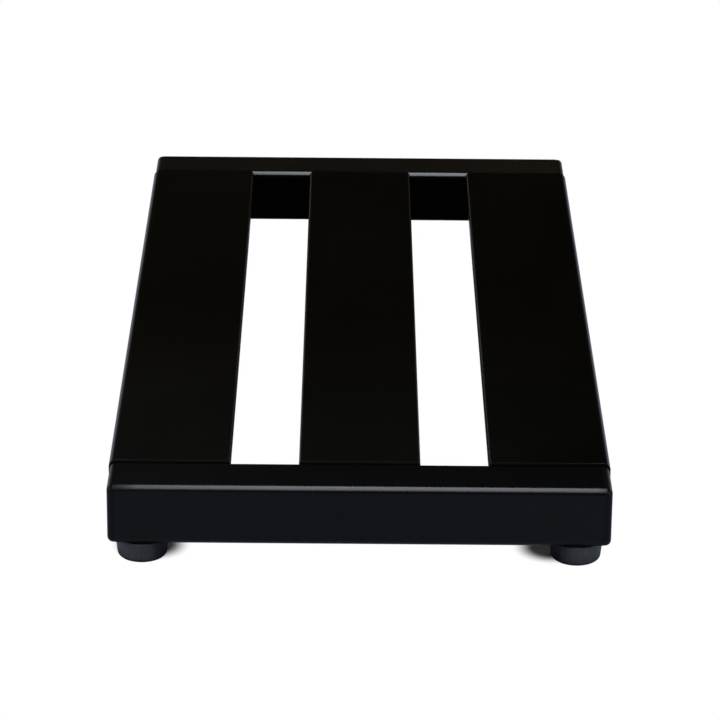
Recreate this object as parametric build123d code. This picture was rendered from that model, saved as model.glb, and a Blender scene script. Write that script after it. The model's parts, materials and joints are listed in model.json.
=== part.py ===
"""Flat three-rail pedalboard.

Three shallow channel rails run along Y between two square end tubes and are welded to their inner
sides, with their tops just above the tubes'. Moulded caps plug the ends of the tubes. A rubber foot stands under
each end of each tube, held from below by a washer and a screw in the tube's lower wall.

Millimetres, +Z up, the front end tube at -Y. The origin is on the floor, under the board's centre.
"""

from build123d import *
import os

# Whole board
board_length = 406.4
board_width = 203.2

# End tubes
tube_size = 25.4
tube_wall = 2.0
tube_corner_radius = 2.8
tube_inner_radius = 0.8
tube_end_setback = 0.6  # the capped ends stand this far inside the outer rails' edges

# Rails: channels, open underneath
rail_width = 49.2
rail_height = 6.35
rail_web = 2.3
rail_lip = 3.0
rail_outer_radius = 3.0  # top edge along the outside of the board
rail_inner_radius = 1.5  # top edges along the gaps
rail_root_radius = 1.0
rail_lip_radius = 0.5
rail_end_break = 0.1
rail_rise = 0.5  # the rails' tops stand this far above the tubes'

# Weld beads under the rails' ends
weld_leg = 3.0
weld_length = 30.0
weld_bulge = 0.4
weld_end_radius = 0.9

# End caps
cap_flange = 3.2
cap_step = 0.1  # the flange's sides stand this far inside the tube's
cap_edge_radius = 2.4
cap_rounding_share = 0.9  # the rounding takes no more than this of the flange or of its corners
cap_stem_wall = 1.6
cap_rib_height = 0.9
cap_rib_width = 1.1
cap_rib_count = 3
cap_fit_gap = 0.1  # ribs to the tube's inner walls
cap_screw_gap = 1.2  # the stem stops this far short of the foot's screw

# Feet
foot_diameter = 21.6
foot_base_diameter = 19.9
foot_height = 9.9
foot_seat_diameter = 17.0
foot_seat_height = 1.0
foot_rim_radius = 0.3
foot_base_radius = 2.0
foot_mouth_break = 0.4
foot_side_inset = 14.0  # foot's axis to the board's side

# Foot screws and washers
screw_diameter = 4.0
screw_length = 12.0
screw_tip_break = 0.6
screw_head_diameter = 8.0
screw_head_height = 3.1
screw_head_radius = 1.4
screw_head_cover = 1.4  # the head stands this far above the floor
drive_span = 4.4
drive_width = 1.0
drive_depth = 1.8
thread_gap = 0.1
shank_gap = 0.2
washer_diameter = 9.0
washer_thickness = 0.8
washer_gap = 0.4

# Places that follow from the sizes above
top_z = foot_height + tube_size + rail_rise
tube_bore = tube_size - 2 * tube_wall
tube_length = board_width - 2 * (tube_end_setback + cap_flange)
tube_centre_y = (board_length - tube_size) / 2
tube_centre_z = foot_height + tube_size / 2
rail_length = board_length - 2 * tube_size
rail_pitch = (board_width - rail_width) / 2
foot_x = board_width / 2 - foot_side_inset
foot_body_height = foot_height - foot_seat_height
counterbore_depth = screw_head_cover + screw_head_height + washer_thickness
counterbore_radius = washer_diameter / 2 + washer_gap
cap_stem_length = tube_length / 2 - foot_x - screw_diameter / 2 - cap_screw_gap

FLOOR = (Align.CENTER, Align.CENTER, Align.MIN)
HANGING = (Align.CENTER, Align.CENTER, Align.MAX)
SIDES = {"left": -1, "right": 1}
ENDS = {"front": -1, "rear": 1}
RAILS = {"left": -1, "centre": 0, "right": 1}


def square_section(side, corner_radius):
    """Rounded square across the X axis."""
    return Plane.YZ * RectangleRounded(side, side, corner_radius)


def end_tube():
    """Square tube along X, centred on the origin, with a screw hole for each foot below."""
    wall = square_section(tube_size, tube_corner_radius) - square_section(tube_bore, tube_inner_radius)
    tube = extrude(wall, amount=tube_length / 2, dir=(1, 0, 0), both=True)
    screw_hole = Cylinder(screw_diameter / 2 + thread_gap, tube_size)
    for side in SIDES.values():
        tube -= Pos(side * foot_x, 0, -tube_size / 2) * screw_hole
    return tube


def end_cap():
    """Plug for a tube's +X end: the flange's inner face is at X 0, and the hollow stem runs to -X."""
    flange_side = tube_size - 2 * cap_step
    flange = extrude(square_section(flange_side, tube_corner_radius), amount=cap_flange, dir=(1, 0, 0))
    rounding = min(cap_edge_radius, cap_rounding_share * min(cap_flange, tube_corner_radius))
    flange = fillet(flange.faces().sort_by(Axis.X)[-1].edges(), rounding)
    rib_side = tube_bore - 2 * cap_fit_gap
    stem_side = rib_side - 2 * cap_rib_height
    hollow_side = stem_side - 2 * cap_stem_wall
    stem = extrude(square_section(stem_side, tube_inner_radius), amount=cap_stem_length, dir=(-1, 0, 0))
    hollow = extrude(square_section(hollow_side, tube_inner_radius), amount=cap_stem_length, dir=(-1, 0, 0))
    rib = extrude(square_section(rib_side, tube_inner_radius), amount=cap_rib_width, dir=(1, 0, 0))
    rib_pitch = cap_stem_length / cap_rib_count
    cap = flange + stem
    for number in range(cap_rib_count):
        cap += Pos(number * rib_pitch - cap_stem_length, 0, 0) * rib
    return cap - hollow


def rail_section(left_radius, right_radius):
    """Channel, open underneath, with the middle of its top face on the origin."""
    bar = Rectangle(rail_width, rail_height, align=(Align.CENTER, Align.MAX))
    channel_width = rail_width - 2 * rail_lip
    channel = Rectangle(channel_width, rail_height - rail_web, align=(Align.CENTER, Align.MIN))
    section = bar - Pos(0, -rail_height) * channel
    section = fillet(section.vertices().group_by(Axis.Y)[1], rail_root_radius)
    section = fillet(section.vertices().group_by(Axis.Y)[0], rail_lip_radius)
    section = fillet(section.vertices().group_by(Axis.Y)[-1].sort_by(Axis.X)[0], left_radius)
    return fillet(section.vertices().group_by(Axis.Y)[-1].sort_by(Axis.X)[-1], right_radius)


def rail(left_radius, right_radius):
    """Rail along Y, with the middle of its top face on the origin and its ends broken."""
    bar = extrude(Plane.XZ * rail_section(left_radius, right_radius), amount=rail_length / 2, both=True)
    ends = bar.faces().filter_by(Axis.Y).edges()
    return chamfer(ends, rail_end_break)


def weld_bead():
    """Fillet weld along X in the corner under a rail's rear end: the corner is on the origin."""
    foot_point = (0, -weld_leg)
    web_point = (-weld_leg, 0)
    middle = (-weld_leg / 2 - weld_bulge, -weld_leg / 2 - weld_bulge)
    face_arc = ThreePointArc(foot_point, middle, web_point)
    outline = Line((0, 0), foot_point) + face_arc + Line(web_point, (0, 0))
    bead = extrude(Plane.YZ * make_face(outline), amount=weld_length / 2, dir=(1, 0, 0), both=True)
    toe = bead.faces().filter_by(GeomType.CYLINDER).edges().filter_by(GeomType.CIRCLE)
    return fillet(toe, weld_end_radius)


def foot():
    """Round rubber foot on the floor: a tapered body, a narrower seat on top and a counterbore below."""
    body = Cone(foot_base_diameter / 2, foot_diameter / 2, foot_body_height, align=FLOOR)
    body = fillet(body.edges().sort_by(Axis.Z)[0], foot_base_radius)
    body = fillet(body.edges().sort_by(Axis.Z)[-1], foot_rim_radius)
    seat = Pos(0, 0, foot_body_height) * Cylinder(foot_seat_diameter / 2, foot_seat_height, align=FLOOR)
    counterbore = Cylinder(counterbore_radius, counterbore_depth, align=FLOOR)
    screw_hole = Cylinder(screw_diameter / 2 + shank_gap, foot_height, align=FLOOR)
    rubber = body + seat - counterbore - screw_hole
    mouth = rubber.faces().sort_by(Axis.Z)[0].edges().sort_by(SortBy.RADIUS)[0]
    return chamfer(mouth, foot_mouth_break)


def foot_washer():
    """Flat washer against the top of the counterbore."""
    disc = Cylinder(washer_diameter / 2, washer_thickness, align=HANGING)
    hole = Cylinder(screw_diameter / 2 + shank_gap, washer_thickness, align=HANGING)
    return Pos(0, 0, counterbore_depth) * (disc - hole)


def foot_screw():
    """Pan head screw, head down, with a cross drive."""
    head_z = counterbore_depth - washer_thickness
    head = Cylinder(screw_head_diameter / 2, screw_head_height, align=HANGING)
    head = fillet(head.edges().sort_by(Axis.Z)[0], screw_head_radius)
    shank = Cylinder(screw_diameter / 2, screw_length, align=FLOOR)
    shank = chamfer(shank.edges().sort_by(Axis.Z)[-1], screw_tip_break)
    slot = Box(drive_span, drive_width, drive_depth, align=FLOOR)
    drive = slot + Rot(0, 0, 90) * slot
    return Pos(0, 0, head_z) * (head + shank - Pos(0, 0, -screw_head_height) * drive)


def build_board():
    """Every piece by name, in its place."""
    pieces = {}
    for end, y_sign in ENDS.items():
        tube_y = y_sign * tube_centre_y
        pieces[f"{end}_end_tube"] = Pos(0, tube_y, tube_centre_z) * end_tube()
        for side, x_sign in SIDES.items():
            turn = Rot(0, 0, 0 if x_sign > 0 else 180)
            cap_place = Pos(x_sign * tube_length / 2, tube_y, tube_centre_z)
            pieces[f"{end}_{side}_end_cap"] = cap_place * turn * end_cap()
            foot_place = Pos(x_sign * foot_x, tube_y, 0)
            pieces[f"{end}_{side}_foot"] = foot_place * foot()
            pieces[f"{end}_{side}_foot_washer"] = foot_place * foot_washer()
            pieces[f"{end}_{side}_foot_screw"] = foot_place * foot_screw()
    for name, place in RAILS.items():
        left_radius = rail_outer_radius if place < 0 else rail_inner_radius
        right_radius = rail_outer_radius if place > 0 else rail_inner_radius
        rail_x = place * rail_pitch
        pieces[f"{name}_rail"] = Pos(rail_x, 0, top_z) * rail(left_radius, right_radius)
        for end, y_sign in ENDS.items():
            turn = Rot(0, 0, 0 if y_sign > 0 else 180)
            weld_place = Pos(rail_x, y_sign * rail_length / 2, top_z - rail_web)
            pieces[f"{end}_{name}_weld"] = weld_place * turn * weld_bead()
    return pieces


os.makedirs("parts", exist_ok=True)
for node, piece in build_board().items():
    piece.label = node
    export_step(piece, f"parts/{node}.step")
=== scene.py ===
"""Flat three-rail pedalboard: its finishes, its small parts in detail, and a plain studio.

Metres, +Z up. The front end tube lies at -Y and the feet stand on the floor at Z 0. The small parts
are drawn in millimetres.
"""

import json
import math

import bmesh
import bpy
from mathutils import Euler, Matrix, Vector


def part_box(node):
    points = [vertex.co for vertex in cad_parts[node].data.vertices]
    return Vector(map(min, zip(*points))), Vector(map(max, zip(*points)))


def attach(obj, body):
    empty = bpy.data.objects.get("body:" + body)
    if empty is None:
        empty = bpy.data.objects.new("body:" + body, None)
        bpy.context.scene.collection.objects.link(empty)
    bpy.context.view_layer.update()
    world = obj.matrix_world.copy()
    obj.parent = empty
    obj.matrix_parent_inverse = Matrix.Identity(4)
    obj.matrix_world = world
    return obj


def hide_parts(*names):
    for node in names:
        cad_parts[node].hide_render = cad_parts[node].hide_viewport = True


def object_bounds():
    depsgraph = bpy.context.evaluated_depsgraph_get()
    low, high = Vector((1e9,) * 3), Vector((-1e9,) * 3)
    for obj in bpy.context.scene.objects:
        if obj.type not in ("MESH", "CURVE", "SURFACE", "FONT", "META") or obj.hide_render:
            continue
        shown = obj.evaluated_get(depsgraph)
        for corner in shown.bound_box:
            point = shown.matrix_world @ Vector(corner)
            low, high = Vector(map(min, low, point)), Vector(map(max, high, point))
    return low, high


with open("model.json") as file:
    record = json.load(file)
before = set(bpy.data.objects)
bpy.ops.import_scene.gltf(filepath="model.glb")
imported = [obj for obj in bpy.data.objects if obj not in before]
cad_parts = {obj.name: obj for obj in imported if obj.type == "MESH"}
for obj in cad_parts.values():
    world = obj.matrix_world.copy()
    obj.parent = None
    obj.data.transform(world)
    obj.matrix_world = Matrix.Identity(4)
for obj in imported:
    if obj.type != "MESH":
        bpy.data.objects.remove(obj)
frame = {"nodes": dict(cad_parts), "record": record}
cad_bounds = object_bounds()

MM = 0.001
FULL_TURN = 2 * math.pi

ENDS = {"front": -1, "rear": 1}
SIDES = {"left": -1, "right": 1}
RAILS = ("left", "centre", "right")

# Lowest and highest corners
BOARD_HIGH = cad_bounds[1]
TUBE_LOW, TUBE_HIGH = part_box("rear_end_tube")
RAIL_LOW, RAIL_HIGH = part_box("centre_rail")
FOOT_LOW, FOOT_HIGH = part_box("front_right_foot")


def middle(low, high):
    """The middle of a box, seen from above."""
    return (low.x + high.x) / 2, (low.y + high.y) / 2


FOOT_X, FOOT_Y = middle(FOOT_LOW, FOOT_HIGH)
FOOT_RADIUS = (FOOT_HIGH.x - FOOT_LOW.x) / 2


# Shader maths


class Value:
    """An output socket of a finish. Sums of values make Math nodes."""

    def __init__(self, finish, socket):
        self.finish = finish
        self.socket = socket

    def __add__(self, other):
        return self.finish.maths("ADD", self, other)

    def __radd__(self, other):
        return self.finish.maths("ADD", other, self)

    def __sub__(self, other):
        return self.finish.maths("SUBTRACT", self, other)

    def __rsub__(self, other):
        return self.finish.maths("SUBTRACT", other, self)

    def __mul__(self, other):
        return self.finish.maths("MULTIPLY", self, other)

    def __rmul__(self, other):
        return self.finish.maths("MULTIPLY", other, self)

    def __truediv__(self, other):
        return self.finish.maths("DIVIDE", self, other)

    def __pow__(self, other):
        return self.finish.maths("POWER", self, other)

    def __abs__(self):
        return self.finish.maths("ABSOLUTE", self)


class Finish:
    """A node tree in the making, of a material or of the world."""

    def __init__(self, owner):
        owner.use_nodes = True
        self.owner = owner
        self.nodes = owner.node_tree.nodes
        self.links = owner.node_tree.links
        self.nodes.clear()

    def node(self, kind, settings=None, sockets=None, output=0):
        """One node: its settings are set first, then each socket gets its value or its link."""
        made = self.nodes.new("ShaderNode" + kind)
        for name, value in (settings or {}).items():
            if name == "stops":
                self.set_stops(made.color_ramp, value)
            else:
                setattr(made, name, value)
        for name, value in (sockets or {}).items():
            if isinstance(value, Value):
                self.links.new(value.socket, made.inputs[name])
            else:
                made.inputs[name].default_value = value
        return Value(self, made.outputs[output]) if made.outputs else None

    @staticmethod
    def set_stops(ramp, stops):
        """The ramp's stops, each a place from 0 to 1 and a grey level."""
        while len(ramp.elements) < len(stops):
            ramp.elements.new(1.0)
        for element, (place, level) in zip(ramp.elements, stops):
            element.position = place
            element.color = (level, level, level, 1.0)

    def maths(self, operation, *values):
        sockets = dict(enumerate(values))
        return self.node("Math", {"operation": operation}, sockets)

    def object_place(self):
        return self.node("TexCoord", output="Object")

    def noise(self, size, detail=2.0, rough=0.5, stretch=(1, 1, 1)):
        """Noise whose lumps are about size across, stretched by that much along each axis."""
        scale = tuple(1 / along for along in stretch)
        place = self.node("Mapping", sockets={"Vector": self.object_place(), "Scale": scale})
        sockets = {"Vector": place, "Scale": 1 / size, "Detail": detail, "Roughness": rough}
        return self.node("TexNoise", sockets=sockets, output="Fac")

    def along(self, axis, place=None):
        """The place's distance along that axis."""
        return self.node("SeparateXYZ", sockets={0: place or self.object_place()}, output=axis)

    def ramped(self, value, start, end):
        """0 up to the start, 1 from the end on, and smooth between them."""
        sockets = {"Value": value, "From Min": start, "From Max": end}
        return self.node("MapRange", {"interpolation_type": "SMOOTHSTEP"}, sockets)

    def between(self, factor, first, second):
        """A colour between two colours, by a factor from 0 to 1."""
        first, second = (c if isinstance(c, Value) else (*c, 1.0) for c in (first, second))
        return self.node("Mix", {"data_type": "RGBA"}, {0: factor, 6: first, 7: second}, output=2)

    def bump(self, height, depth, over=None):
        """A normal that follows height, from 0 to 1, over that depth, on top of another one."""
        sockets = {"Height": height, "Distance": depth}
        if over:
            sockets["Normal"] = over
        return self.node("Bump", sockets=sockets)

    def surface(self, **sockets):
        """The finish's own shader, whose sockets are named in words joined by _."""
        named = {name.replace("_", " "): value for name, value in sockets.items()}
        shader = self.node("BsdfPrincipled", sockets=named)
        self.node("OutputMaterial", sockets={"Surface": shader})
        return self.owner


def new_finish(name):
    return Finish(bpy.data.materials.new(name))


def varied(level, *swings):
    """The level, varied about itself by noises. Each swing is a noise and how much it counts."""
    for noise, swing in swings:
        level = level + (noise - 0.5) * swing
    return level


# Finishes

COAT_GLOSS = 0.19  # specular levels
PLASTIC_GLOSS = 0.16
RUBBER_GLOSS = 0.2

# Sizes of the lumps in the powder coat, and the depth of its surface
COAT_CLOUD = 60 * MM
COAT_PEEL = 2.6 * MM
COAT_GRAIN = 0.35 * MM
COAT_STREAK = 1.6 * MM
COAT_RELIEF = 0.012 * MM

# Where a finish changes, from the first distance to the second
FRONT_FADE = (-0.02, 0.18)  # forward of the middle, from the rear tones to the front ones; the two are painted light
REAR_FADE = (0.0, 0.1)  # behind the middle, where the caps' tops carry painted light
TOP_FADE = (TUBE_HIGH.z - 5 * MM, TUBE_HIGH.z - 1 * MM)  # up to the tubes' tops; below it the coat carries painted shade, and the caps' tops carry painted light
SEAM_FADE = (TUBE_LOW.y + 2.0 * MM, TUBE_LOW.y + 2.8 * MM)  # past the tubes' seams with the rails, where the coat carries painted shade
SIDE_FADE = (BOARD_HIGH.x - 9 * MM, BOARD_HIGH.x - 4 * MM)  # near the board's sides
SAWN_FADE = (RAIL_HIGH.z - 1.1 * MM, RAIL_HIGH.z - 0.8 * MM)  # near the rails' tops
INNER_SHADE_FADE = (0.2, 0.9)  # painted shade, from a foot's axis inwards, in shares of its radius

# Painted light: how much the coat's tone changes in a metre, going right across the board
RAIL_PAINTED_LIGHT_FALL = 3.6
REAR_PAINTED_LIGHT_RISE = 1.2
FRONT_PAINTED_LIGHT_RISE = 5.5  # going out to either side
FRONT_TOP_PAINTED_LIGHT_FALL = 5.0
SEAM_SHINE = 0.08  # how much smoother the tubes' coat is by the seams

SAWN_END_Y = RAIL_HIGH.y - 0.15 * MM  # the rails' sawn ends lie past this, with their broken edges
SAWN_SHINE = 0.05  # how much smoother the sawn ends are than the rest of the rail
SAWN_DULL = 0.55  # how much rougher than that they are near their tops
SAWN_SIDE_DULL = 0.3  # and at the board's sides

DRAW_LENGTH = 10 * MM  # the tubes' ends draw in over this length
DRAW_DEPTH = 0.36 * MM
DRAW_SHIFT = 2.5 * MM  # and over this much more at their left ends, and less at their right ones

SIDE_PAINTED_LIGHT = 0.3  # painted light and shade: how much paler the feet are on the board's outer sides, and darker on the inner ones


def drawn_end(finish):
    """The slight draw of a tube's end, down to its cap."""
    aside = abs(finish.along("X") - DRAW_SHIFT)
    past = finish.maths("MAXIMUM", (aside - (BOARD_HIGH.x - DRAW_LENGTH)) / DRAW_LENGTH, 0)
    return finish.bump(1 - past * past, DRAW_DEPTH)


def powder_coat(name, roughness, streak):
    """Satin powder coat in the making: slight orange peel, a finer grain and lengthwise streaks.

    Besides the finish it gives its tone, its roughness and the height of its surface.
    """
    coat = new_finish(name)
    cloud = coat.noise(COAT_CLOUD, detail=3.0)
    peel = coat.noise(COAT_PEEL, detail=1.0)
    grain = coat.noise(COAT_GRAIN, detail=2.0)
    streaks = coat.noise(COAT_STREAK, stretch=streak)
    tone = cloud * 0.6 + grain * 0.4
    gloss = varied(roughness, (cloud, 0.06), (grain, 0.08), (streaks, 0.05))
    return coat, tone, gloss, peel * 0.75 + grain * 0.25


def lengthwise(coat, rear, front):
    """The coat's colour along the board, with painted light in its change from rear to front. Each end
    has a tone, and its dark and light colours.
    """
    forward = coat.ramped(0 - coat.along("Y"), *FRONT_FADE)
    return coat.between(forward, coat.between(*rear), coat.between(*front))


def frame_coat(name):
    """The coat on tubes and welds, with painted light paler on top and to the sides, painted shade
    down the sides and in the seams, and smoother by the seams.
    """
    coat, tone, gloss, height = powder_coat(name, roughness=0.26, streak=(30, 1, 1))
    across = coat.along("X")
    # on_top and off_seam mask painted shade: darker down the sides at the rear and in the seams
    on_top = coat.ramped(coat.along("Z"), *TOP_FADE)
    off_seam = coat.ramped(abs(coat.along("Y")), *SEAM_FADE)
    # painted light: paler to the right at the rear, out to the sides at the front, and darker to the
    # right on top there
    rear_tone = (tone + across * REAR_PAINTED_LIGHT_RISE) * on_top * off_seam
    aside = (abs(across) - BOARD_HIGH.x / 2) * FRONT_PAINTED_LIGHT_RISE
    front_tone = (tone + aside - across * FRONT_TOP_PAINTED_LIGHT_FALL * on_top) * off_seam
    # painted light: separate rear and front colours
    colour = lengthwise(
        coat,
        rear=(rear_tone, (0.0003, 0.0002, 0.0001), (0.0087, 0.0066, 0.0042)),
        front=(front_tone, (0.0006, 0.0006, 0.0006), (0.0031, 0.0031, 0.0029)),
    )
    return coat.surface(
        Base_Color=colour,
        Roughness=gloss - (1 - off_seam) * SEAM_SHINE,
        Normal=coat.bump(height, COAT_RELIEF, over=drawn_end(coat)),
        Specular_IOR_Level=COAT_GLOSS,
    )


def rail_coat(name):
    """The coat on the rails: paler to the left as painted light, and rougher at the top of their sawn
    ends.
    """
    coat, tone, gloss, height = powder_coat(name, roughness=0.23, streak=(1, 40, 1))
    across = coat.along("X")
    # painted light: the tone is paler to the left
    tone = tone - across * RAIL_PAINTED_LIGHT_FALL
    # painted light: separate rear and front colours
    colour = lengthwise(
        coat,
        rear=(tone, (0.0002, 0.0001, 0.0000), (0.0018, 0.0013, 0.0004)),
        front=(tone, (0.0003, 0.0003, 0.0002), (0.0038, 0.0038, 0.0032)),
    )
    sawn = coat.maths("GREATER_THAN", abs(coat.along("Y")), SAWN_END_Y)
    at_side = coat.ramped(abs(across), *SIDE_FADE)
    near_top = coat.ramped(coat.along("Z"), *SAWN_FADE)
    dull = near_top * SAWN_DULL * (1 - at_side) + at_side * SAWN_SIDE_DULL
    return coat.surface(
        Base_Color=colour,
        Roughness=gloss + sawn * (dull - SAWN_SHINE),
        Normal=coat.bump(height, COAT_RELIEF),
        Specular_IOR_Level=COAT_GLOSS,
    )


def moulded_plastic(name):
    """Black moulded plastic with a fine spark-eroded grain, and painted light that makes it paler on
    top at the rear.
    """
    plastic = new_finish(name)
    cloud = plastic.noise(25 * MM, detail=2.0)
    grain = plastic.noise(0.28 * MM, detail=3.0, rough=0.6)
    tone = cloud * 0.5 + grain * 0.5
    colour = plastic.between(tone, (0.0016, 0.0015, 0.0018), (0.0028, 0.0027, 0.0034))
    # painted light: a paler, warmer colour on the caps' tops at the rear
    on_top = plastic.ramped(plastic.along("Z"), *TOP_FADE)
    rearward = plastic.ramped(plastic.along("Y"), *REAR_FADE)
    return plastic.surface(
        Base_Color=plastic.between(on_top * rearward, colour, (0.0040, 0.0032, 0.0022)),
        Roughness=varied(0.3, (grain, 0.12), (cloud, 0.05)),
        Normal=plastic.bump(grain, 0.012 * MM, over=drawn_end(plastic)),
        Specular_IOR_Level=PLASTIC_GLOSS,
    )


def rubber(name):
    """Matte moulded rubber with a faint grey bloom; painted light makes it paler on the board's outer
    sides and painted shade darker on the inner ones.
    """
    compound = new_finish(name)
    bloom = compound.noise(5 * MM, detail=4.0, rough=0.6)
    grain = compound.noise(0.22 * MM, detail=2.0)
    scuffs = compound.noise(1.2 * MM, stretch=(1, 1, 6))
    # painted light and shade: paler towards the board's outer sides, darker towards the inner ones
    outward = (abs(compound.along("X")) - FOOT_X) / FOOT_RADIUS
    inner = compound.ramped(0 - outward, *INNER_SHADE_FADE)
    tone = bloom * 0.45 + grain * 0.2 + scuffs * 0.35 + (outward - inner) * SIDE_PAINTED_LIGHT
    return compound.surface(
        Base_Color=compound.between(tone, (0.002, 0.003, 0.005), (0.106, 0.116, 0.133)),
        Roughness=varied(0.62, (bloom, 0.2)),
        Normal=compound.bump(grain, 0.015 * MM),
        Specular_IOR_Level=RUBBER_GLOSS,
    )


def zinc_plate(name):
    """Bright zinc plate over turned or stamped steel."""
    zinc = new_finish(name)
    cloud = zinc.noise(3 * MM, detail=4.0, rough=0.6)
    grain = zinc.noise(0.12 * MM, detail=2.0)
    return zinc.surface(
        Base_Color=zinc.between(cloud, (0.50, 0.51, 0.54), (0.68, 0.68, 0.69)),
        Metallic=1.0,
        Roughness=varied(0.3, (cloud, 0.2), (grain, 0.1)),
        Normal=zinc.bump(grain, 0.006 * MM),
    )


finishes = {
    "frame_coat": frame_coat("satin_black_frame_coat"),
    "rail_coat": rail_coat("satin_black_rail_coat"),
    "cap_plastic": moulded_plastic("black_cap_plastic"),
    "foot_rubber": rubber("black_foot_rubber"),
    "plated_steel": zinc_plate("zinc_plated_steel"),
}

for row in frame["record"]["subparts"]:
    node = frame["nodes"][row["node"]]
    node.data.materials.clear()
    node.data.materials.append(finishes[row["material_slot"]])


# Making the small parts

ROUNDING_STEPS = 5
SHARP_ANGLE = math.radians(35)
MERGE_DISTANCE = 0.002 * MM


def mm_point(across, along, height):
    return Vector((across, along, height)) * MM


def turned(outline, steps):
    """The outline turned about Z. Its corners are (radius, height, rounding) in millimetres.

    An outline that starts on the axis ends on it too, and any other one is closed.
    """
    shape = bmesh.new()
    corners = [shape.verts.new(mm_point(radius, 0, height)) for radius, height, _ in outline]
    for pair in zip(corners, corners[1:]):
        shape.edges.new(pair)
    if outline[0][0] > 0:
        shape.edges.new((corners[-1], corners[0]))
    for corner, (_, _, rounding) in zip(corners, outline):
        if rounding:
            bmesh.ops.bevel(
                shape,
                geom=[corner],
                offset=rounding * MM,
                offset_type="OFFSET",
                segments=ROUNDING_STEPS,
                profile=0.5,
                affect="VERTICES",
                material=-1,
            )
    bmesh.ops.spin(
        shape,
        geom=shape.edges[:],
        cent=(0, 0, 0),
        axis=(0, 0, 1),
        angle=FULL_TURN,
        steps=steps,
        use_merge=True,
    )
    return shape


def closed_mesh(name, shape):
    """The shape's mesh, with its seams and poles closed and its faces outwards."""
    bmesh.ops.remove_doubles(shape, verts=shape.verts, dist=MERGE_DISTANCE)
    bmesh.ops.recalc_face_normals(shape, faces=shape.faces)
    mesh = bpy.data.meshes.new(name)
    shape.to_mesh(mesh)
    shape.free()
    return mesh


def carved(name, body, steps):
    """The body's mesh after each step, an operation and the mesh that it cuts away or joins."""
    base = bpy.data.objects.new(name, body)
    helpers = [base]
    for operation, tool in steps:
        cutter = bpy.data.objects.new("cutter", tool)
        helpers.append(cutter)
        boolean = base.modifiers.new(operation.lower(), "BOOLEAN")
        boolean.operation = operation
        boolean.solver = "EXACT"
        boolean.object = cutter
    for helper in helpers:
        bpy.context.scene.collection.objects.link(helper)
    depsgraph = bpy.context.evaluated_depsgraph_get()
    mesh = bpy.data.meshes.new_from_object(base.evaluated_get(depsgraph))
    for helper in helpers:
        bpy.data.objects.remove(helper)
    return mesh


def fitted(name, mesh, place, node, slot):
    """A copy of the mesh in its place, as the piece that stands for a node."""
    shown = mesh.copy()
    shown.name = name
    shown.transform(place)
    shown.shade_smooth()
    shown.set_sharp_from_angle(angle=SHARP_ANGLE)
    shown.materials.clear()
    shown.materials.append(finishes[slot])
    piece = bpy.data.objects.new(name, shown)
    bpy.context.scene.collection.objects.link(piece)
    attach(piece, "root")
    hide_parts(node)


# Feet and washers

SCREW_HOLE = 2.2  # radius of the holes in feet and washers
FOOT_STEPS = 128
FOOT_TAPER = 0.85  # the base's radius is this much less than the rim's
BASE_ROUNDING = 2.0
SEAT_RADIUS = 8.5
SEAT_HEIGHT = 1.0
COUNTERBORE_RADIUS = 4.9
COUNTERBORE_DEPTH = 5.3
GROOVE_INNER = 6.3  # the tread groove's radii
GROOVE_OUTER = 6.9
GROOVE_DEPTH = 0.3
FLASH_HEIGHT = 8.0  # the mould flash, a fine raised line round the side
FLASH_PROUD = 0.05
FLASH_REACH = 0.12  # above and below
FLASH_LEAN = 0.01  # how much the side leans out over that
WASHER_STEPS = 96


def foot_mesh(radius, height):
    """Turned rubber foot: seat, rim, mould flash, tapered side, grooved base and counterbore."""
    rim_height = height - SEAT_HEIGHT
    base_radius = radius - FOOT_TAPER
    side = base_radius + FOOT_TAPER * FLASH_HEIGHT / rim_height
    outline = [
        (SCREW_HOLE, height, 0.15),
        (SCREW_HOLE, COUNTERBORE_DEPTH, 0),
        (COUNTERBORE_RADIUS, COUNTERBORE_DEPTH, 0.2),
        (COUNTERBORE_RADIUS, 0, 0.4),
        (GROOVE_INNER, 0, 0.12),
        (GROOVE_INNER, GROOVE_DEPTH, 0.1),
        (GROOVE_OUTER, GROOVE_DEPTH, 0.1),
        (GROOVE_OUTER, 0, 0.12),
        (base_radius, 0, BASE_ROUNDING),
        (side - FLASH_LEAN, FLASH_HEIGHT - FLASH_REACH, 0),
        (side + FLASH_PROUD, FLASH_HEIGHT, 0),
        (side + FLASH_LEAN, FLASH_HEIGHT + FLASH_REACH, 0),
        (radius, rim_height, 0.35),
        (SEAT_RADIUS, rim_height, 0.25),
        (SEAT_RADIUS, height, 0.2),
    ]
    return closed_mesh("rubber_foot", turned(outline, FOOT_STEPS))


def washer_mesh(radius, low, high):
    """Stamped flat washer: its lower edges are rolled and its upper ones sharper."""
    outline = [
        (SCREW_HOLE, low, 0.2),
        (radius, low, 0.25),
        (radius, high, 0.08),
        (SCREW_HOLE, high, 0.08),
    ]
    return closed_mesh("flat_washer", turned(outline, WASHER_STEPS))


# Screws

HEAD_RADIUS = 4.0
HEAD_HEIGHT = 3.1
HEAD_ROUNDING = 1.4
HEAD_EDGE = 0.12
HEAD_STEPS = 96
SHANK_SINK = 0.3  # the shank starts this far inside the head
THREAD_PITCH = 0.7
THREAD_ROOT = 1.55
THREAD_CREST = 2.0
THREAD_LAND = 0.06  # half of the flat at the root
FLANK_LENGTH = 0.25
CREST_WIDTH = 0.08
SPARE_TURNS = 2  # the thread is turned this much too long, then cut to length
TURN_STEPS = 32
TIP_LENGTH = 0.6
TIP_DRAW = 0.35  # the tip is narrower by this share at its end
RECESS_SPAN = 4.4  # the cross recess, across two wings
RECESS_WIDTH = 1.0
RECESS_DEPTH = 1.8
RECESS_FLOOR = (0.42, 0.6, 1)  # what is left of its span and width on its floor
RECESS_FLARE = (1.0, 1.35, 1)  # and what they grow to as far outside its mouth


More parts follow.
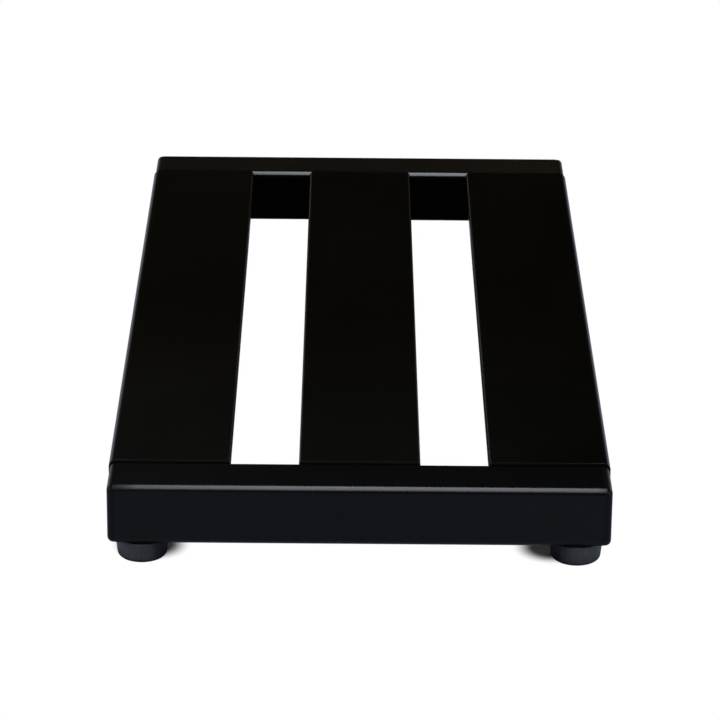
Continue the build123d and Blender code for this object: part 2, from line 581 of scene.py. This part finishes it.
def threaded_shank(low, high):
    """Shank with a one-start thread from low to high, and a pointed tip."""
    shape = bmesh.new()
    crest_start = THREAD_LAND + FLANK_LENGTH
    crest_end = crest_start + CREST_WIDTH
    profile = [
        (THREAD_ROOT, 0),
        (THREAD_ROOT, THREAD_LAND),
        (THREAD_CREST, crest_start),
        (THREAD_CREST, crest_end),
        (THREAD_ROOT, crest_end + FLANK_LENGTH),
        (THREAD_ROOT, THREAD_PITCH),
    ]
    start = low - SPARE_TURNS * THREAD_PITCH
    points = [shape.verts.new(mm_point(radius, 0, start + rise)) for radius, rise in profile]
    for pair in zip(points, points[1:]):
        shape.edges.new(pair)
    turns = math.ceil((high - start) / THREAD_PITCH) + 1
    bmesh.ops.spin(
        shape,
        geom=shape.edges[:],
        cent=(0, 0, 0),
        axis=(0, 0, 1),
        dvec=mm_point(0, 0, THREAD_PITCH / TURN_STEPS),
        angle=turns * FULL_TURN,
        steps=turns * TURN_STEPS,
    )
    bmesh.ops.remove_doubles(shape, verts=shape.verts, dist=MERGE_DISTANCE)
    for height, outward in ((low, -1), (high, 1)):
        cut = bmesh.ops.bisect_plane(
            shape,
            geom=[*shape.verts, *shape.edges, *shape.faces],
            plane_co=mm_point(0, 0, height),
            plane_no=(0, 0, outward),
            clear_outer=True,
        )
        rim = [part for part in cut["geom_cut"] if isinstance(part, bmesh.types.BMEdge)]
        bmesh.ops.holes_fill(shape, edges=rim, sides=0)
    for point in shape.verts:
        past = point.co.z / MM - (high - TIP_LENGTH)
        if past > 0:
            point.co.xy *= 1 - TIP_DRAW * past / TIP_LENGTH
    return closed_mesh("thread", shape)


def recess_wing(mouth, turn):
    """Two opposite wings of the cross recess, tapered from their mouth up to their floor."""
    shape = bmesh.new()
    bmesh.ops.create_cube(shape, size=1)
    bmesh.ops.scale(shape, vec=(RECESS_SPAN, RECESS_WIDTH, 2 * RECESS_DEPTH), verts=shape.verts)
    floor = [point for point in shape.verts if point.co.z > 0]
    bmesh.ops.scale(shape, vec=RECESS_FLOOR, verts=floor)
    opening = [point for point in shape.verts if point.co.z < 0]
    bmesh.ops.scale(shape, vec=RECESS_FLARE, verts=opening)
    bmesh.ops.translate(shape, vec=(0, 0, mouth), verts=shape.verts)
    bmesh.ops.scale(shape, vec=(MM, MM, MM), verts=shape.verts)
    bmesh.ops.rotate(shape, cent=(0, 0, 0), matrix=Matrix.Rotation(turn, 3, "Z"), verts=shape.verts)
    return closed_mesh("recess_wing", shape)


def screw_mesh(low, high):
    """Pan head screw, head down, with a tapered cross recess and a threaded shank."""
    seat = low + HEAD_HEIGHT
    head = [
        (0, low, 0),
        (HEAD_RADIUS, low, HEAD_ROUNDING),
        (HEAD_RADIUS, seat, HEAD_EDGE),
        (0, seat, 0),
    ]
    steps = [
        ("UNION", threaded_shank(seat - SHANK_SINK, high)),
        ("DIFFERENCE", recess_wing(low, 0)),
        ("DIFFERENCE", recess_wing(low, FULL_TURN / 4)),
    ]
    return carved("pan_screw", closed_mesh("pan_head", turned(head, HEAD_STEPS)), steps)


# Weld beads

BEAD_STEP = 0.15
BEAD_FACE_CUTS = 13
BEAD_END = 1.6  # the full bead rounds off over this length
BEAD_END_ROUNDING = 0.92  # and 1 would round it off to nothing
THIN_END = 0.3  # the thin ends' size, as a share of the full bead's
THIN_END_INSET = 3.3  # the thin ends stop this far inside the rail's sides, in its lips' roots
CROWN = 0.38  # the face stands this proud in its middle
CROWN_SWELL = 0.05  # and up to this much more or less along the bead
RIPPLE_HEIGHT = 0.14
RIPPLE_PITCH = 1.7
RIPPLE_BOW = 1.1  # the ripples curve this far along the bead
TOE_WANDER = 0.03  # the bead narrows by up to twice this share
SWELL_RATE = 0.9  # radians in a millimetre
WANDER_RATE = 1.7


def weld_mesh(length, reach, leg, phase):
    """Fillet weld along X in the corner on the origin: rippled face and wandering toes.

    The full bead rounds off at that length, and thin ends run on to the reach.
    """
    shape = bmesh.new()
    sections = round(reach / BEAD_STEP)
    corner, lower_toe, upper_toe = (
        shape.verts.new(mm_point(-reach / 2, along, height))
        for along, height in ((0, 0), (0, -leg), (-leg, 0))
    )
    shape.edges.new((upper_toe, corner))
    shape.edges.new((corner, lower_toe))
    face = shape.edges.new((lower_toe, upper_toe))
    bmesh.ops.subdivide_edges(shape, edges=[face], cuts=BEAD_FACE_CUTS)
    bmesh.ops.spin(
        shape,
        geom=shape.edges[:],
        cent=(0, 0, 0),
        axis=(1, 0, 0),
        dvec=mm_point(reach / sections, 0, 0),
        angle=0,
        steps=sections,
    )
    bmesh.ops.holes_fill(shape, edges=[edge for edge in shape.edges if edge.is_boundary], sides=0)
    outward = Vector((0, -1, -1)).normalized()
    for point in shape.verts:
        place = point.co.x / MM
        across = (point.co.y - point.co.z) / (leg * MM)
        raised = max(0, -(point.co.y + point.co.z) / (leg * MM))
        crown = (1 - across * across) * raised
        bowed = place + RIPPLE_BOW * across * across
        ripple = abs(math.cos(math.pi * bowed / RIPPLE_PITCH + phase))
        swell = CROWN_SWELL * math.sin(SWELL_RATE * place + 2 * phase)
        point.co += outward * crown * (CROWN + swell - RIPPLE_HEIGHT * (1 - ripple)) * MM
        past = min(1, max(0, abs(place) - (length / 2 - BEAD_END)) / BEAD_END)
        rounding = max(THIN_END, math.sqrt(1 - BEAD_END_ROUNDING * past * past))
        wander = 1 - TOE_WANDER * (1 - math.sin(WANDER_RATE * place + phase))
        point.co.yz *= wander * rounding
    return closed_mesh("weld_bead", shape)


# Small parts in their places

FIRST_SCREW_TURN = math.radians(20)  # the recesses stand at different angles, as driven
NEXT_SCREW_TURN = math.radians(55)
WELD_PHASE = 0.5  # the ripples differ from bead to bead


def feet_with_screws():
    """A foot, a washer and a screw at each corner, each as large as the front left one."""
    low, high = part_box("front_left_foot")
    foot = foot_mesh((high.x - low.x) / 2 / MM, high.z / MM)
    low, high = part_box("front_left_foot_washer")
    washer = washer_mesh((high.x - low.x) / 2 / MM, low.z / MM, high.z / MM)
    low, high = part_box("front_left_foot_screw")
    screw = screw_mesh(low.z / MM, high.z / MM)
    for number, corner in enumerate(f"{end}_{side}" for end in ENDS for side in SIDES):
        place = Matrix.Translation((*middle(*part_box(f"{corner}_foot")), 0))
        turn = Matrix.Rotation(FIRST_SCREW_TURN + number * NEXT_SCREW_TURN, 4, "Z")
        fitted(f"{corner}_rubber_foot", foot, place, f"{corner}_foot", "foot_rubber")
        fitted(f"{corner}_flat_washer", washer, place, f"{corner}_foot_washer", "plated_steel")
        fitted(f"{corner}_pan_screw", screw, place @ turn, f"{corner}_foot_screw", "plated_steel")


def weld_beads():
    """A bead under each end of each rail."""
    reach = (RAIL_HIGH.x - RAIL_LOW.x) / MM - 2 * THIN_END_INSET
    for end, ahead in ENDS.items():
        for number, rail in enumerate(RAILS):
            node = f"{end}_{rail}_weld"
            low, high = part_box(node)
            length, leg = (high.x - low.x) / MM, (high.z - low.z) / MM
            bead = weld_mesh(length, reach, leg, number + WELD_PHASE * ahead)
            edge = high.y if ahead > 0 else low.y
            place = Matrix.Translation((middle(low, high)[0], edge, high.z))
            turn = Matrix.Rotation(0 if ahead > 0 else math.pi, 4, "Z")
            fitted(f"{node}_bead", bead, place @ turn, node, "frame_coat")


feet_with_screws()
weld_beads()


# Stage

FLOOR_HALF = 8.0  # half of the floor's side
LIT_TONE = (0.5, 0.5, 0.5)  # the floor to the lamps' light
GLOSS_TONE = (0.35, 0.40, 0.555)  # the floor to gloss
UNDER_SHADOW_TONE = (0.03, 0.03, 0.03)  # painted shadow: the floor to both, under the board
LIT_EDGE = (-12 * MM, 8 * MM)  # where each tone changes from the painted shadow, from within the board's outline outwards
GLOSS_EDGE = (-30 * MM, -6 * MM)
CONTACT_SHADOW_REACH = 8 * MM  # both carry painted shadow this far round each foot
SHADOW_TONE = (0.95, 0.95, 0.95)  # the floor to the camera, in the shadow by each foot
SHADOW_FADE = (8 * MM, 17 * MM)  # where that fades to white, from its middle outwards; the painted shadow in the other two tones fades over it too
SHADOW_INSET = (6 * MM, 9 * MM)  # its middle lies this far in from the foot's axis
SHADOW_DRIFT = 3 * MM  # and all four lie this far to the left


def floor_paper():
    """Pale paper with painted shadow under the board and by the feet, for the lamps' light and for
    gloss. The camera sees it white, with shadow only by the feet.
    """
    paper = new_finish("pale_floor_paper")
    across = paper.along("X")
    along = paper.along("Y")

    def reach(drift, x, y):
        """Distance from the nearest of four points, one by each foot."""
        aside = abs(abs(across + drift) - x)
        ahead = abs(abs(along) - y)
        return (aside * aside + ahead * ahead) ** 0.5

    shadow = reach(SHADOW_DRIFT, FOOT_X - SHADOW_INSET[0], -FOOT_Y - SHADOW_INSET[1])
    clean = paper.ramped(shadow, *SHADOW_FADE)
    # painted shadow round each foot, and under the board by the outline below
    contact_shade = paper.ramped(reach(0, FOOT_X, -FOOT_Y), FOOT_RADIUS, FOOT_RADIUS + CONTACT_SHADOW_REACH)
    beyond = paper.maths("MAXIMUM", abs(across) - BOARD_HIGH.x, abs(along) - BOARD_HIGH.y)

    def tone(edge, pale):
        """Painted shadow under the board and by the feet, and pale past that edge."""
        return paper.between(paper.ramped(beyond, *edge) * clean * contact_shade, UNDER_SHADOW_TONE, pale)

    lit = paper.node("BsdfDiffuse", sockets={"Color": tone(LIT_EDGE, LIT_TONE)})
    mirrored = paper.node("Emission", sockets={"Color": tone(GLOSS_EDGE, GLOSS_TONE)})
    shaded = paper.node("BsdfDiffuse", sockets={"Color": (*SHADOW_TONE, 1.0)})
    white = paper.node("Emission", sockets={"Color": (1, 1, 1, 1), "Strength": 1.0})
    camera_ray = paper.node("LightPath", output="Is Camera Ray")
    glossy_ray = paper.node("LightPath", output="Is Glossy Ray")
    clear_ray = paper.node("LightPath", output="Is Transmission Ray")
    unseen = paper.node("MixShader", sockets={0: glossy_ray, 1: lit, 2: mirrored})
    seen = paper.node("MixShader", sockets={0: camera_ray + clear_ray, 1: unseen, 2: shaded})
    cleaned = paper.node("MixShader", sockets={0: camera_ray * clean, 1: seen, 2: white})
    paper.node("OutputMaterial", sockets={"Surface": cleaned})
    return paper.owner


def studio_floor():
    """A wide sheet of the paper, flat under the feet."""
    sheet = bmesh.new()
    bmesh.ops.create_grid(sheet, x_segments=1, y_segments=1, size=FLOOR_HALF)
    mesh = bpy.data.meshes.new("floor")
    sheet.to_mesh(mesh)
    sheet.free()
    mesh.materials.append(floor_paper())
    floor = bpy.data.objects.new("floor", mesh)
    bpy.context.scene.collection.objects.link(floor)


ROOM_LEVEL = 0.007
HORIZON_BAND = [(0.0, 1.0), (0.5, 1.0), (0.525, 0.4), (0.55, 0.1), (0.585, 0.0), (1.0, 0.0)]
BAND_LEVEL = 0.6  # the band's strength straight ahead and behind
BAND_FALL = 0.9  # how much weaker it is to the right, and stronger to the left
BAND_LIMITS = {"Min": 0.25, "Max": 1.0}
FRONT_TINT = (0.88, 0.95, 1.0)
REAR_TINT = (1.0, 0.86, 0.64)


def studio_world():
    """Dark room with a pale band round the horizon, paler to the left."""
    world = bpy.data.worlds.new("studio")
    bpy.context.scene.world = world
    room = Finish(world)
    direction = room.node("TexCoord", output="Generated")
    height = room.along("Z", direction) * 0.5 + 0.5
    rearward = room.along("Y", direction) * 0.5 + 0.5
    band = room.node("ValToRGB", {"stops": HORIZON_BAND}, {0: height})
    level = BAND_LEVEL - BAND_FALL * room.along("X", direction)
    side = room.node("Clamp", sockets={"Value": level, **BAND_LIMITS})
    tint = room.between(rearward, FRONT_TINT, REAR_TINT)
    strength = band * side + ROOM_LEVEL
    backdrop = room.node("Background", sockets={"Color": tint, "Strength": strength})
    room.node("OutputWorld", sockets={"Surface": backdrop})


def softbox(name, place, aim, size, power, tint=(1, 1, 1)):
    """A rectangular soft light at place, facing aim; its size is across and along."""
    lamp = bpy.data.lights.new(name, "AREA")
    lamp.shape = "RECTANGLE"
    lamp.size, lamp.size_y = size
    lamp.energy = power
    lamp.color = tint
    light = bpy.data.objects.new(name, lamp)
    light.location = place
    toward = Vector(aim) - Vector(place)
    light.rotation_euler = toward.to_track_quat("-Z", "Y").to_euler()
    light.visible_camera = False
    bpy.context.scene.collection.objects.link(light)


def studio_lights():
    """A long cool light overhead, a low glow from the front and dim fills all round."""
    softbox(
        "overhead_softbox",
        place=(0.1, -0.75, 4.5),
        aim=(0.1, -0.2, 0),
        size=(0.85, 6.2),
        power=245,
        tint=(0.95, 1.0, 1.09),
    )
    softbox("front_glow", place=(0.1, -3.55, 2.77), aim=(0, -0.2, 0), size=(3.0, 1.7), power=11)
    softbox("right_fill", place=(2.2, -1.2, 1.1), aim=(0, -0.2, 0.02), size=(1.5, 1.5), power=15)
    softbox("left_fill", place=(-2.4, -0.6, 1.1), aim=(0, -0.1, 0.02), size=(1.5, 1.5), power=14)
    for name, side in SIDES.items():
        place = (2.2 * side, 2.0, 0.7)
        softbox(f"rear_{name}_fill", place, aim=(0, 0.1, 0.02), size=(1.2, 1.0), power=8)


CAMERA_PLACE = (-0.00496, -1.53651, 0.63242)
CAMERA_HEADING = math.radians(0.197)  # to the right of straight ahead
CAMERA_TILT = math.radians(22.121)  # downwards
CAMERA_ROLL = math.radians(-0.541)
CAMERA_LENS = 183.44  # millimetres, as the sensor's width
CAMERA_SENSOR = 36.0


def camera():
    """Long lens from the front, looking down along the board."""
    lens = bpy.data.cameras.new("camera")
    lens.sensor_width = CAMERA_SENSOR
    lens.lens = CAMERA_LENS
    view = bpy.data.objects.new("camera", lens)
    view.location = CAMERA_PLACE
    look = Euler((math.pi / 2 - CAMERA_TILT, 0, -CAMERA_HEADING)).to_matrix()
    view.rotation_euler = (look @ Matrix.Rotation(-CAMERA_ROLL, 3, "Z")).to_euler()
    bpy.context.scene.collection.objects.link(view)
    bpy.context.scene.camera = view


studio_floor()
studio_world()
studio_lights()
camera()

bpy.context.scene.view_settings.view_transform = "Standard"
